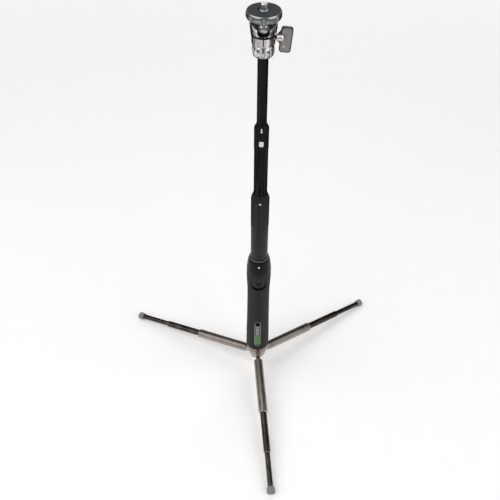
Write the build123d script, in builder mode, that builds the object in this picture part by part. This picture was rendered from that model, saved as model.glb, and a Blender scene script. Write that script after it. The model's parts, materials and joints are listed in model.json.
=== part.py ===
from build123d import *
from math import cos, radians, sin
import os

# Hand-held pod on a folding tripod foot, millimetres, +Z up.
# The origin is on the floor, on the axis of the column. The pod's front faces -Y.

# ---- General clearances ----
running_gap = 0.06       # radial gap of a shaft or tube that slides or turns in its bore
swing_gap = 0.3          # free gap beside parts that swing past each other
slot_gap = 0.1           # gap at each side of a tongue or a button in its slot

# ---- Legs ----
leg_count = 3
leg_names = ["front", "right", "left"]
leg_turn = 6.0           # the leg set stands turned by this much about the column
splay_angle = 7.4        # open legs slope down by this much below the horizontal
pivot_radius = 8.0       # hinge pins' distance from the column axis
leg_hub_gap = 2.4        # from the hub's side to the first end of an outer tube
outer_tube_length = 70.8
middle_tube_shown = 50.4
inner_tube_shown = 47.6
middle_tube_hidden = 15.6
inner_tube_hidden = 14.4
outer_tube_radius = 5.65
outer_tube_wall = 0.7
middle_tube_radius = 4.1
middle_tube_wall = 0.6
inner_tube_radius = 3.2
inner_tube_wall = 0.5
mouth_length = 1.2       # rolled-in mouth at the free end of a leg tube
bush_length = 9.0        # spring bush on the hidden end of a leg tube
foot_length = 7.4
foot_radius = 4.7
foot_neck_radius = 3.9
foot_rounding = 1.2
foot_socket = 5.0        # depth of the inner tube's seat in the foot

# ---- Leg knuckle and hub ----
tongue_width = 5.0
tongue_half_height = 4.2
knuckle_plug_length = 9.0
knuckle_shoulder = 1.0
pin_radius = 1.5
pin_length = 8.8
hub_radius = 13.6
hub_rim_radius = 13.9
hub_below_pivot = 3.6
hub_step_above_pivot = 15.5
hub_above_pivot = 20.6
hub_foot_radius = 8.8    # flat underside of the bowl
hub_belly_radius = 12.0
hub_belly_height = 9.3   # above the underside
hub_rounding = 1.2
hub_groove = 0.7
stud_radius = 3.175
stud_length = 22.0
stud_in_hub = 12.0

# ---- Grip ----
grip_length = 135.3      # rubber sleeve
grip_collar_height = 21.2
grip_radius = 14.05
grip_waist_radius = 13.05
grip_shoulder_radius = 13.95
core_radius = 11.3
core_bore = 10.0
core_into_collar = 13.0
grip_guide_length = 44.6
mouth_ring_radius = 10.6
mouth_ring_height = 1.4
base_plug_height = 14.0
insert_radius = 4.6
badge_width = 7.9
badge_length = 46.5
badge_above_base = 8.3
badge_depth = 0.8
thumb_rest_width = 17.3
thumb_rest_height = 20.0
thumb_rest_below_top = 4.0
thumb_rest_depth = 1.7
thumb_rest_sag = 4.2
dot_radius = 1.1
mark_depth = 0.4

# ---- Column ----
lower_shown = 91.4       # from the grip's mouth to the top of the lower collar
middle_shown = 83.0      # from the lower collar to the top of the middle collar
upper_shown = 68.6       # from the middle collar to the foot of the head
lower_radius = 9.43
lower_wall = 0.9
middle_radius = 6.93
middle_wall = 0.75
upper_radius = 4.8
upper_wall = 0.7
lower_collar_step = 0.19  # collar stands out of its tube by this
lower_collar_height = 44.0
lower_collar_slope = 7.0
middle_collar_step = 0.2
middle_collar_height = 26.6
middle_collar_slope = 3.8
collar_lip = 0.5         # width of the flat ring round the tube on top of a collar
guide_below_collar = 10.0
lock_sleeve_length = 9.6
lock_flange = 1.0
cam_plug_length = 9.0
sleeve_slit = 1.4
lower_dot_below_top = 8.3
grip_dot_above_sleeve = 14.5

# ---- Lock button ----
button_width = 4.4
button_height = 5.7
button_below_top = 18.6
button_proud = 0.3
button_rounding = 1.3
spring_half_span = 2.4
spring_foot_drop = 0.65   # the spring's feet reach round the yoke by this
yoke_wall = 0.7
yoke_shift = 0.33
collar_skin = 0.72
button_spring_thickness = 0.2

# ---- Head ----
swivel_collar_radius = 9.7
swivel_collar_height = 10.8
flute_count = 14
flute_radius = 1.6
flute_depth = 0.9
journal_radius = 4.0
spigot_length = 11.0
spigot_flange_radius = 6.0
spigot_flange = 1.6
housing_above_collar = 0.5
housing_bottom_radius = 10.0
housing_top_radius = 11.85
housing_height = 19.1
housing_floor = 1.6
housing_seam_height = 8.7
housing_seam_width = 1.3
housing_seam_depth = 0.9
key_axis_height = 5.6    # above the housing's underside
ball_above_key = 8.7
ball_radius = 6.5
neck_radius = 3.0
neck_room = 1.4          # gap round the neck at the top of the housing
notch_half_width = 5.2
tilt_relief_angle = 32.0
clamp_slit = 0.9
swivel_screw_radius = 1.5
swivel_head_radius = 5.0
swivel_head = 1.4
platform_above_ball = 7.5
platform_height = 7.3
platform_radius = 15.1
platform_base_radius = 13.0
platform_rim_height = 4.1
finger_notch_count = 8
finger_notch_radius = 2.15
pad_radius = 13.9
pad_thickness = 1.1
pad_proud = 0.3
stem_flange_radius = 5.4
stem_flange = 1.0
stem_journal_radius = 3.6
camera_screw_radius = 3.175
camera_screw_proud = 5.7
screw_flange_radius = 4.9
screw_flange = 1.3
screw_neck_radius = 2.9
screw_root_radius = 1.6

# ---- Lock key ----
key_screw_radius = 1.75
key_boss_radius = 2.4
key_gap = 0.4
key_neck_half_height = 7.2
key_wing_width = 10.2
key_wing_height = 22.4
key_wing_thickness = 3.0
key_wing_offset = 19.0   # wing's centre from the column axis
key_wing_drop = 1.8
key_wing_lean = 5.0
key_wing_corner = 2.6
nut_radius = 3.2
nut_thickness = 2.3

# ---- Derived places ----
leg_start = hub_radius - pivot_radius + leg_hub_gap  # measured from the hinge pin
middle_start = leg_start + outer_tube_length
inner_start = middle_start + middle_tube_shown
foot_start = inner_start + inner_tube_shown - foot_length
leg_end = foot_start + foot_length
splay = radians(splay_angle)
pivot_height = (
    (leg_end - foot_rounding) * sin(splay)
    + (foot_radius - foot_rounding) * cos(splay)
    + foot_rounding
)
hub_bottom = pivot_height - hub_below_pivot
hub_step = pivot_height + hub_step_above_pivot
hub_top = pivot_height + hub_above_pivot
sleeve_top = hub_top + grip_length
grip_mouth = sleeve_top + grip_collar_height + running_gap
lower_top = grip_mouth + lower_shown
middle_top = lower_top + middle_shown
head_foot = middle_top + upper_shown
housing_bottom = head_foot + swivel_collar_height + housing_above_collar
key_height = housing_bottom + key_axis_height
ball_height = key_height + ball_above_key
housing_top = housing_bottom + housing_height
platform_bottom = ball_height + platform_above_ball
platform_top = platform_bottom + platform_height
pad_top = platform_top + pad_proud
pad_bottom = pad_top - pad_thickness

lower_collar_radius = lower_radius + lower_collar_step
middle_collar_radius = middle_radius + middle_collar_step
lower_bore = lower_radius - lower_wall
middle_bore = middle_radius - middle_wall
upper_bore = upper_radius - upper_wall

os.makedirs("parts", exist_ok=True)


def keep(builder, name):
    """Label a finished piece and write it."""
    builder.part.label = name
    export_step(builder.part, "parts/" + name + ".step")


def turn(*outline, mode=Mode.ADD):
    """Revolve a closed outline of (radius, height) points about the column axis."""
    with BuildSketch(Plane.XZ) as profile:
        with BuildLine():
            Polyline(*outline, close=True)
        make_face()
    revolve(profile.sketch, axis=Axis.Z, mode=mode)


def turn_ring(inner, outer, low, high, mode=Mode.ADD):
    """Revolve a plain ring, or a disc where the inner radius is 0."""
    turn((inner, low), (outer, low), (outer, high), (inner, high), mode=mode)


def extrude_ring(plane, outer, length, inner=0.0, mode=Mode.ADD):
    """Extrude a disc or a ring from a plane along its normal."""
    with BuildSketch(plane) as ring:
        Circle(outer)
        if inner > 0:
            Circle(inner, mode=Mode.SUBTRACT)
    extrude(ring.sketch, amount=length, mode=mode)


def front_mark(plane_offset, height):
    """Cutter for a round mark on the front of a collar."""
    with BuildPart() as cutter:
        with BuildSketch(Plane.XZ.offset(plane_offset)):
            with Locations((0, height)):
                Circle(dot_radius)
        extrude(amount=5)
    return cutter.part


# ---- Grip, the body that everything else hangs on ----
sleeve_outline = [
    (grip_radius, hub_top),
    (grip_radius, hub_top + 0.10 * grip_length),
    (grip_waist_radius + 0.35, hub_top + 0.38 * grip_length),
    (grip_waist_radius, hub_top + 0.62 * grip_length),
    (grip_waist_radius, hub_top + 0.78 * grip_length),
    (grip_shoulder_radius - 0.25, hub_top + 0.89 * grip_length),
    (grip_shoulder_radius, sleeve_top),
]


def turn_sleeve(inset, mode=Mode.ADD):
    """Revolve the grip's waisted outside, inset from its surface, down to the axis."""
    points = [(radius - inset, height) for radius, height in sleeve_outline]
    with BuildSketch(Plane.XZ) as profile:
        with BuildLine():
            Spline(*points)
            Polyline(points[-1], (0, sleeve_top), (0, hub_top), points[0])
        make_face()
    revolve(profile.sketch, axis=Axis.Z, mode=mode)


badge_middle = hub_top + badge_above_base + badge_length / 2
with BuildPart() as badge_cutter:
    with BuildSketch(Plane.XZ):
        with Locations((0, badge_middle)):
            SlotOverall(badge_length, badge_width, rotation=90)
    extrude(amount=2 * grip_radius)
    turn_sleeve(badge_depth, mode=Mode.SUBTRACT)

thumb_top = sleeve_top - thumb_rest_below_top
thumb_low = thumb_top - thumb_rest_height
with BuildPart() as thumb_cutter:
    with BuildSketch(Plane.XZ):
        with BuildLine():
            Polyline(
                (-thumb_rest_width / 2, thumb_low + thumb_rest_sag),
                (-thumb_rest_width / 2, thumb_top),
                (thumb_rest_width / 2, thumb_top),
                (thumb_rest_width / 2, thumb_low + thumb_rest_sag),
            )
            ThreePointArc(
                (thumb_rest_width / 2, thumb_low + thumb_rest_sag),
                (0, thumb_low),
                (-thumb_rest_width / 2, thumb_low + thumb_rest_sag),
            )
        make_face()
    extrude(amount=2 * grip_radius)
    turn(
        (0, thumb_low - 1),
        (core_radius + 0.3, thumb_low - 1),
        (grip_shoulder_radius - thumb_rest_depth, thumb_low + 2),
        (grip_shoulder_radius, thumb_top),
        (grip_shoulder_radius, thumb_top + 1),
        (0, thumb_top + 1),
        mode=Mode.SUBTRACT,
    )

with BuildPart() as sleeve_blank:
    turn_sleeve(0)

with BuildPart() as grip_badge:
    add(sleeve_blank.part)
    add(badge_cutter.part, mode=Mode.INTERSECT)
keep(grip_badge, "grip_badge")

with BuildPart() as grip_sleeve:
    add(sleeve_blank.part)
    turn_ring(0, core_radius, hub_top - 1, sleeve_top + 1, mode=Mode.SUBTRACT)
    add(badge_cutter.part, mode=Mode.SUBTRACT)
    add(thumb_cutter.part, mode=Mode.SUBTRACT)
keep(grip_sleeve, "grip_sleeve")

guide_low = grip_mouth - grip_guide_length
core_top = sleeve_top + core_into_collar
with BuildPart() as grip_core:
    turn_ring(0, core_radius, hub_top, core_top)
    turn_ring(0, core_bore, hub_top - 1, guide_low, mode=Mode.SUBTRACT)
    turn_ring(0, lower_radius + running_gap, guide_low - 1, core_top + 1, mode=Mode.SUBTRACT)
keep(grip_core, "grip_core")

collar_top = sleeve_top + grip_collar_height
ring_seat = collar_top - mouth_ring_height
with BuildPart() as grip_collar_blank:
    with BuildSketch(Plane.XZ):
        with BuildLine():
            Spline(
                (grip_shoulder_radius, sleeve_top),
                (grip_shoulder_radius - 0.18, sleeve_top + 0.27 * grip_collar_height),
                (grip_shoulder_radius - 0.8, sleeve_top + 0.52 * grip_collar_height),
                (grip_shoulder_radius - 1.6, sleeve_top + 0.77 * grip_collar_height),
                (mouth_ring_radius + 0.5, collar_top - 0.5),
            )
            Polyline(
                (mouth_ring_radius + 0.5, collar_top - 0.5),
                (mouth_ring_radius, collar_top - 0.2),
                (mouth_ring_radius, ring_seat),
                (lower_radius + running_gap, ring_seat),
                (lower_radius + running_gap, core_top),
                (core_radius, core_top),
                (core_radius, sleeve_top),
                (grip_shoulder_radius, sleeve_top),
            )
        make_face()
    revolve(axis=Axis.Z)

grip_dot_cutter = front_mark(grip_shoulder_radius - 2.0, sleeve_top + grip_dot_above_sleeve)

with BuildPart() as grip_index_dot:
    add(grip_collar_blank.part)
    add(grip_dot_cutter, mode=Mode.INTERSECT)
keep(grip_index_dot, "grip_index_dot")

with BuildPart() as grip_collar:
    add(grip_collar_blank.part)
    add(grip_dot_cutter, mode=Mode.SUBTRACT)
keep(grip_collar, "grip_collar")

with BuildPart() as grip_mouth_ring:
    turn_ring(lower_radius + running_gap, mouth_ring_radius, ring_seat, collar_top)
    chamfer(grip_mouth_ring.edges().group_by(Axis.Z)[-1], 0.25)
keep(grip_mouth_ring, "grip_mouth_ring")

plug_top = hub_top + base_plug_height
with BuildPart() as grip_base_plug:
    turn_ring(insert_radius, core_bore, hub_top, plug_top)
keep(grip_base_plug, "grip_base_plug")

with BuildPart() as thread_insert:
    turn_ring(stud_radius, insert_radius, hub_top, plug_top)
keep(thread_insert, "thread_insert")

# ---- Hub with its slots, stud and hinge pins ----
leg_angles = [270 + leg_turn + index * 360 / leg_count for index in range(leg_count)]
tongue_clear = tongue_half_height + swing_gap
slot_inner = pivot_radius - tongue_clear
slot_roof = pivot_height + tongue_clear


def leg_frame(angle):
    """Plane at a leg's hinge, its x along the pin and its normal along the open leg."""
    outward = Vector(cos(radians(angle)), sin(radians(angle)), 0)
    along = outward * cos(splay) - Vector(0, 0, 1) * sin(splay)
    tangent = Vector(0, 0, 1).cross(outward)
    centre = outward * pivot_radius + Vector(0, 0, pivot_height)
    return Plane(origin=centre, x_dir=tangent, z_dir=along)


def pin_plane(angle, start):
    """Plane square to a leg's hinge pin, at a distance along it from the pin's middle."""
    frame = leg_frame(angle)
    up = frame.x_dir.cross(frame.z_dir)
    return Plane(origin=frame.origin + frame.x_dir * start, x_dir=up, z_dir=frame.x_dir)


with BuildPart() as leg_hub:
    with BuildSketch(Plane.XZ):
        with BuildLine():
            Line((0, hub_bottom), (hub_foot_radius, hub_bottom))
            ThreePointArc(
                (hub_foot_radius, hub_bottom),
                (hub_belly_radius, hub_bottom + hub_belly_height),
                (hub_radius, hub_step),
            )
            Polyline(
                (hub_radius, hub_step),
                (hub_radius - hub_groove, hub_step + 0.2 * hub_groove),
                (hub_radius - hub_groove, hub_step + hub_groove),
                (hub_rim_radius, hub_step + 2 * hub_groove),
                (hub_rim_radius, hub_top),
                (0, hub_top),
                (0, hub_bottom),
            )
        make_face()
    revolve(axis=Axis.Z)
    fillet(leg_hub.edges().filter_by(GeomType.CIRCLE).group_by(Axis.Z)[0], hub_rounding)
    for angle in leg_angles:
        slot_middle = (slot_inner + 2 * hub_radius) / 2
        with BuildSketch(Plane.XY.offset(hub_bottom - 1)):
            with Locations(Location((0, 0, 0), (0, 0, angle))):
                with Locations((slot_middle, 0)):
                    Rectangle(2 * hub_radius - slot_inner, tongue_width + 2 * slot_gap)
        extrude(amount=slot_roof - hub_bottom + 1, mode=Mode.SUBTRACT)
        extrude_ring(
            pin_plane(angle, -2 * hub_radius), pin_radius, 4 * hub_radius, mode=Mode.SUBTRACT
        )
    turn_ring(0, stud_radius, hub_top - stud_in_hub, hub_top + 1, mode=Mode.SUBTRACT)
keep(leg_hub, "leg_hub")

with BuildPart() as hub_stud:
    turn_ring(0, stud_radius, hub_top - stud_in_hub, hub_top - stud_in_hub + stud_length)
    chamfer(hub_stud.edges(), 0.5)
keep(hub_stud, "hub_stud")

with BuildPart() as hinge_pins:
    for angle in leg_angles:
        extrude_ring(pin_plane(angle, -pin_length / 2), pin_radius, pin_length)
keep(hinge_pins, "hinge_pins")


# ---- Legs ----
def make_leg(name, angle):
    """Make the seven pieces of one leg along its open axis."""
    frame = leg_frame(angle)
    outer_bore = outer_tube_radius - outer_tube_wall
    middle_leg_bore = middle_tube_radius - middle_tube_wall
    middle_mouth = middle_start - mouth_length
    inner_mouth = inner_start - mouth_length

    with BuildPart() as knuckle:
        with BuildSketch(pin_plane(angle, -tongue_width / 2)):
            with BuildLine():
                Polyline(
                    (-tongue_half_height, 0),
                    (-tongue_half_height, -leg_start),
                    (tongue_half_height, -leg_start),
                    (tongue_half_height, 0),
                )
                ThreePointArc(
                    (tongue_half_height, 0), (0, tongue_half_height), (-tongue_half_height, 0)
                )
            make_face()
            Circle(pin_radius + running_gap, mode=Mode.SUBTRACT)
        extrude(amount=tongue_width)
        extrude_ring(frame.offset(leg_start - knuckle_shoulder), outer_tube_radius, knuckle_shoulder)
        shoulder_rim = knuckle.edges().filter_by(GeomType.CIRCLE).filter_by(
            lambda edge: abs(edge.radius - outer_tube_radius) < 0.01
        )
        chamfer(shoulder_rim.sort_by_distance(frame.origin)[0], 0.6)
        extrude_ring(frame.offset(leg_start), outer_bore, knuckle_plug_length)
    keep(knuckle, name + "_knuckle")

    with BuildPart() as outer_tube:
        extrude_ring(frame.offset(leg_start), outer_tube_radius, outer_tube_length)
        far_rim = outer_tube.faces().sort_by_distance(frame.origin)[-1].edges()
        fillet(far_rim, 0.9)
        extrude_ring(
            frame.offset(leg_start), outer_bore, outer_tube_length - mouth_length,
            mode=Mode.SUBTRACT,
        )
        extrude_ring(
            frame.offset(middle_mouth - 1), middle_tube_radius + running_gap, mouth_length + 2,
            mode=Mode.SUBTRACT,
        )
    keep(outer_tube, name + "_outer_tube")

    with BuildPart() as middle_bush:
        extrude_ring(
            frame.offset(middle_mouth - swing_gap - bush_length),
            outer_bore - running_gap, bush_length, inner=middle_tube_radius,
        )
    keep(middle_bush, name + "_middle_bush")

    middle_length = middle_tube_shown + middle_tube_hidden
    with BuildPart() as middle_tube:
        extrude_ring(frame.offset(middle_start - middle_tube_hidden), middle_tube_radius,
                     middle_length)
        far_rim = middle_tube.faces().sort_by_distance(frame.origin)[-1].edges()
        fillet(far_rim, 0.7)
        extrude_ring(
            frame.offset(middle_start - middle_tube_hidden), middle_leg_bore,
            middle_length - mouth_length, mode=Mode.SUBTRACT,
        )
        extrude_ring(
            frame.offset(inner_mouth - 1), inner_tube_radius + running_gap, mouth_length + 2,
            mode=Mode.SUBTRACT,
        )
    keep(middle_tube, name + "_middle_tube")

    with BuildPart() as inner_bush:
        extrude_ring(
            frame.offset(inner_mouth - swing_gap - bush_length),
            middle_leg_bore - running_gap, bush_length, inner=inner_tube_radius,
        )
    keep(inner_bush, name + "_inner_bush")

    tube_end = foot_start + foot_socket
    tube_first = inner_start - inner_tube_hidden
    with BuildPart() as inner_tube:
        extrude_ring(
            frame.offset(tube_first), inner_tube_radius, tube_end - tube_first,
            inner=inner_tube_radius - inner_tube_wall,
        )
    keep(inner_tube, name + "_inner_tube")

    foot_side = Plane(origin=frame.origin, x_dir=frame.z_dir, z_dir=frame.x_dir)
    with BuildPart() as foot:
        with BuildSketch(foot_side):
            with BuildLine():
                Polyline(
                    (foot_start, inner_tube_radius),
                    (foot_start, foot_neck_radius),
                    (foot_start + 1.2, foot_radius - 0.2),
                    (foot_start + 2.4, foot_radius),
                    (leg_end - foot_rounding, foot_radius),
                )
                RadiusArc(
                    (leg_end - foot_rounding, foot_radius),
                    (leg_end, foot_radius - foot_rounding),
                    foot_rounding,
                )
                Polyline(
                    (leg_end, foot_radius - foot_rounding),
                    (leg_end, 0),
                    (tube_end, 0),
                    (tube_end, inner_tube_radius),
                    (foot_start, inner_tube_radius),
                )
            make_face()
        revolve(axis=Axis(frame.origin, frame.z_dir))
    keep(foot, name + "_foot")


for leg_name, leg_angle in zip(leg_names, leg_angles):
    make_leg(leg_name, leg_angle)


# ---- Telescoping column ----
def make_lock(name, top, tube_radius, tube_bore, outer_bore, cam_offset):
    """Make the cam plug in a tube's lower end and the split sleeve that it spreads."""
    flange_low = top - lock_flange
    sleeve_top_height = flange_low - running_gap
    sleeve_low = sleeve_top_height - lock_sleeve_length
    cam_radius = tube_bore - 2 * cam_offset
    sleeve_bore = cam_radius + cam_offset + slot_gap
    with BuildPart() as cam_plug:
        turn_ring(0, tube_bore, top, top + cam_plug_length)
        turn_ring(0, tube_radius, flange_low, top)
        with BuildSketch(Plane.XY.offset(sleeve_low - running_gap)):
            with Locations((0, cam_offset)):
                Circle(cam_radius)
        extrude(amount=flange_low - sleeve_low + running_gap)
        turn_ring(0, tube_radius, sleeve_low - running_gap - lock_flange, sleeve_low - running_gap)
    keep(cam_plug, name + "_cam_plug")
    with BuildPart() as lock_sleeve:
        turn_ring(sleeve_bore, outer_bore - running_gap, sleeve_low, sleeve_top_height)
        with BuildSketch(Plane.XY.offset(sleeve_low - 1)):
            with Locations((0, outer_bore / 2 + sleeve_bore / 2)):
                Rectangle(sleeve_slit, 2 * outer_bore)
        extrude(amount=lock_sleeve_length + 2, mode=Mode.SUBTRACT)
    keep(lock_sleeve, name + "_lock_sleeve")


# Lower section, which slides in the grip
lower_end = guide_low - swing_gap
lower_collar_low = lower_top - lower_collar_height
lower_guide_low = lower_collar_low - guide_below_collar
make_lock("lower", lower_end, lower_radius, lower_bore, core_bore, 0.6)

with BuildPart() as lower_tube:
    turn_ring(lower_bore, lower_radius, lower_end, lower_collar_low)
keep(lower_tube, "lower_tube")

lower_lip = middle_radius + collar_lip
with BuildPart() as lower_collar_blank:
    turn(
        (lower_bore, lower_collar_low),
        (lower_collar_radius, lower_collar_low),
        (lower_collar_radius, lower_top - lower_collar_slope),
        (lower_collar_radius - 0.35, lower_top - 0.72 * lower_collar_slope),
        (lower_lip, lower_top),
        (middle_radius + running_gap, lower_top),
        (middle_radius + running_gap, lower_top - lower_collar_slope),
        (lower_bore, lower_top - lower_collar_slope),
    )

lower_dot_cutter = front_mark(lower_collar_radius - mark_depth, lower_top - lower_dot_below_top)
with BuildPart() as lower_index_dot:
    add(lower_collar_blank.part)
    add(lower_dot_cutter, mode=Mode.INTERSECT)
keep(lower_index_dot, "lower_index_dot")

with BuildPart() as lower_collar:
    add(lower_collar_blank.part)
    add(lower_dot_cutter, mode=Mode.SUBTRACT)
keep(lower_collar, "lower_collar")

with BuildPart() as lower_guide_bush:
    turn_ring(
        middle_radius + running_gap, lower_bore, lower_guide_low, lower_top - lower_collar_slope
    )
keep(lower_guide_bush, "lower_guide_bush")

# Middle section, which slides in the lower one and carries the lock button
middle_end = lower_guide_low - swing_gap
middle_collar_low = middle_top - middle_collar_height
middle_guide_low = middle_collar_low - guide_below_collar
make_lock("middle", middle_end, middle_radius, middle_bore, lower_bore, 0.5)

with BuildPart() as middle_tube:
    turn_ring(middle_bore, middle_radius, middle_end, middle_collar_low)
keep(middle_tube, "middle_tube")

button_middle = middle_top - button_below_top
chamber_low = button_middle - button_height / 2 - slot_gap
chamber_high = button_middle + button_height / 2 + slot_gap
chamber_radius = middle_collar_radius - collar_skin
middle_lip = upper_radius + collar_lip
with BuildPart() as middle_collar:
    turn(
        (chamber_radius, middle_collar_low),
        (middle_collar_radius, middle_collar_low),
        (middle_collar_radius, middle_top - middle_collar_slope),
        (middle_lip, middle_top),
        (upper_radius + running_gap, middle_top),
        (upper_radius + running_gap, chamber_high),
        (chamber_radius, chamber_high),
    )
    with BuildSketch(Plane.XZ):
        with Locations((0, button_middle)):
            RectangleRounded(button_width + 2 * slot_gap, button_height + 2 * slot_gap, 1.5)
    extrude(amount=2 * middle_collar_radius, mode=Mode.SUBTRACT)
keep(middle_collar, "middle_collar")

with BuildPart() as middle_guide_bush:
    turn(
        (upper_radius + running_gap, middle_guide_low),
        (middle_bore, middle_guide_low),
        (middle_bore, middle_collar_low),
        (chamber_radius, middle_collar_low),
        (chamber_radius, chamber_low),
        (upper_radius + running_gap, chamber_low),
    )
keep(middle_guide_bush, "middle_guide_bush")

yoke_bore = upper_radius + running_gap + yoke_shift
with BuildPart() as lock_button:
    with BuildSketch(Plane.XY.offset(button_middle - button_height / 2)):
        with Locations((0, -yoke_shift)):
            Circle(yoke_bore + yoke_wall)
        with Locations((0, -(middle_collar_radius + yoke_bore) / 2)):
            Rectangle(button_width, middle_collar_radius - yoke_bore + 2)
        Circle(middle_collar_radius + button_proud, mode=Mode.INTERSECT)
        with Locations((0, -yoke_shift)):
            Circle(yoke_bore, mode=Mode.SUBTRACT)
    extrude(amount=button_height)
    cap_edges = lock_button.edges().filter_by(Axis.Y).filter_by(
        lambda edge: edge.center().Y < -yoke_bore - yoke_wall
    )
    fillet(cap_edges, button_rounding)
keep(lock_button, "lock_button")

spring_low = yoke_bore + yoke_wall - yoke_shift + running_gap
spring_high = chamber_radius - running_gap
spring_foot = spring_low - spring_foot_drop
spring_inner_span = spring_half_span - button_spring_thickness
with BuildPart() as button_spring:
    with BuildSketch(Plane.XY.offset(button_middle - button_height / 4)):
        with BuildLine():
            ThreePointArc(
                (-spring_half_span, spring_foot), (0, spring_high), (spring_half_span, spring_foot)
            )
            Line((spring_half_span, spring_foot), (spring_inner_span, spring_foot))
            ThreePointArc(
                (spring_inner_span, spring_foot),
                (0, spring_high - button_spring_thickness),
                (-spring_inner_span, spring_foot),
            )
            Line((-spring_inner_span, spring_foot), (-spring_half_span, spring_foot))
        make_face()
        with Locations((0, -yoke_shift)):
            Circle(yoke_bore + yoke_wall, mode=Mode.SUBTRACT)
    extrude(amount=button_height / 2)
keep(button_spring, "button_spring")

# Upper section, which carries the head
upper_end = middle_guide_low - swing_gap
make_lock("upper", upper_end, upper_radius, upper_bore, middle_bore, 0.4)

with BuildPart() as upper_tube:
    turn_ring(upper_bore, upper_radius, upper_end, head_foot)
keep(upper_tube, "upper_tube")

# ---- Swivel ----
flange_top = head_foot + spigot_flange
journal_top = housing_bottom + housing_floor + running_gap
with BuildPart() as head_spigot:
    turn(
        (0, head_foot - spigot_length),
        (upper_bore, head_foot - spigot_length),
        (upper_bore, head_foot),
        (spigot_flange_radius, head_foot),
        (spigot_flange_radius, flange_top),
        (journal_radius, flange_top),
        (journal_radius, journal_top),
        (0, journal_top),
    )
    turn_ring(0, swivel_screw_radius, flange_top, journal_top + 1, mode=Mode.SUBTRACT)
keep(head_spigot, "head_spigot")

screw_seat = journal_top
with BuildPart() as swivel_screw:
    turn_ring(0, swivel_screw_radius, flange_top + 1, screw_seat)
    turn_ring(0, swivel_head_radius, screw_seat, screw_seat + swivel_head)
    with BuildSketch(Plane.XY.offset(screw_seat + swivel_head / 2)):
        Rectangle(1.0, 2 * swivel_head_radius + 1)
    extrude(amount=swivel_head, mode=Mode.SUBTRACT)
keep(swivel_screw, "swivel_screw")

collar_low = head_foot + swing_gap
collar_high = head_foot + swivel_collar_height
with BuildPart() as swivel_collar:
    with BuildSketch(Plane.XZ):
        with BuildLine():
            Polyline(
                (swivel_collar_radius - 1.1, collar_high),
                (journal_radius + running_gap, collar_high),
                (journal_radius + running_gap, flange_top + slot_gap),
                (spigot_flange_radius + swing_gap, flange_top + slot_gap),
                (spigot_flange_radius + swing_gap, collar_low),
                (swivel_collar_radius - 2.2, collar_low),
            )
            ThreePointArc(
                (swivel_collar_radius - 2.2, collar_low),
                (swivel_collar_radius - 0.5, collar_low + 1.9),
                (swivel_collar_radius, collar_low + 4.4),
            )
            ThreePointArc(
                (swivel_collar_radius, collar_low + 4.4),
                (swivel_collar_radius - 0.25, collar_high - 2.2),
                (swivel_collar_radius - 1.1, collar_high),
            )
        make_face()
    revolve(axis=Axis.Z)
    with BuildSketch(Plane.XY.offset(collar_low - 1)):
        with PolarLocations(swivel_collar_radius + flute_radius - flute_depth, flute_count):
            Circle(flute_radius)
    extrude(amount=swivel_collar_height + 2, mode=Mode.SUBTRACT)
keep(swivel_collar, "swivel_collar")

# ---- Ball housing ----
socket_radius = ball_radius + running_gap
seam_low = housing_bottom + housing_seam_height
seam_high = seam_low + housing_seam_width
cup_low = ball_height - ball_radius + 0.2
well_radius = swivel_head_radius + swing_gap
key_line = Plane(origin=(0, 0, key_height), x_dir=(0, 1, 0), z_dir=(1, 0, 0))
nut_outer = housing_bottom_radius + 0.3
with BuildPart() as ball_housing:
    turn(
        (0, housing_bottom),
        (housing_bottom_radius - 0.5, housing_bottom),
        (housing_bottom_radius, housing_bottom + 0.6),
        (housing_bottom_radius + 0.6, seam_low),
        (housing_bottom_radius + 0.6 - housing_seam_depth, seam_low + 0.3),
        (housing_bottom_radius + 0.6 - housing_seam_depth, seam_high - 0.3),
        (housing_bottom_radius + 1.0, seam_high),
        (housing_top_radius, housing_top - 1.5),
        (housing_top_radius, housing_top),
        (0, housing_top),
    )
    fillet(ball_housing.edges().filter_by(GeomType.CIRCLE).group_by(Axis.Z)[-1], 1.4)
    turn_ring(0, journal_radius + running_gap, housing_bottom - 1, cup_low, mode=Mode.SUBTRACT)
    turn_ring(0, well_radius, housing_bottom + housing_floor, cup_low, mode=Mode.SUBTRACT)
    turn_ring(0, socket_radius, cup_low, ball_height, mode=Mode.SUBTRACT)
    with Locations((0, 0, ball_height)):
        Sphere(socket_radius, mode=Mode.SUBTRACT)
    turn_ring(0, neck_radius + neck_room, ball_height, housing_top + 1, mode=Mode.SUBTRACT)
    # U-shaped notch that lets the neck swing forward
    with BuildSketch(Plane.XZ):
        with Locations((0, ball_height)):
            Circle(notch_half_width)
        with Locations((0, ball_height + housing_height / 2)):
            Rectangle(2 * notch_half_width, housing_height)
    extrude(amount=2 * housing_top_radius, mode=Mode.SUBTRACT)
    # Clamp slit through the front wall
    with BuildSketch(Plane.XZ):
        with Locations((0, (housing_bottom + housing_floor + ball_height) / 2)):
            Rectangle(clamp_slit, ball_height - housing_bottom - housing_floor)
    extrude(amount=2 * housing_top_radius, mode=Mode.SUBTRACT)
    # Slope in front, which the tilted platform needs
    relief = Plane(
        origin=(0, 0, ball_height),
        x_dir=(1, 0, 0),
        z_dir=(0, -sin(radians(tilt_relief_angle)), cos(radians(tilt_relief_angle))),
    )
    with BuildSketch(relief.offset(platform_above_ball - swing_gap)):
        Rectangle(4 * housing_top_radius, 4 * housing_top_radius)
    extrude(amount=3 * housing_height, mode=Mode.SUBTRACT)
    # Cross hole of the lock key and the pocket of its nut
    extrude_ring(
        key_line.offset(-2 * housing_top_radius), key_screw_radius + running_gap,
        4 * housing_top_radius, mode=Mode.SUBTRACT,
    )
    extrude_ring(
        key_line.offset(-2 * housing_top_radius), nut_radius,
        2 * housing_top_radius - nut_outer + nut_thickness, mode=Mode.SUBTRACT,
    )
keep(ball_housing, "ball_housing")

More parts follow.
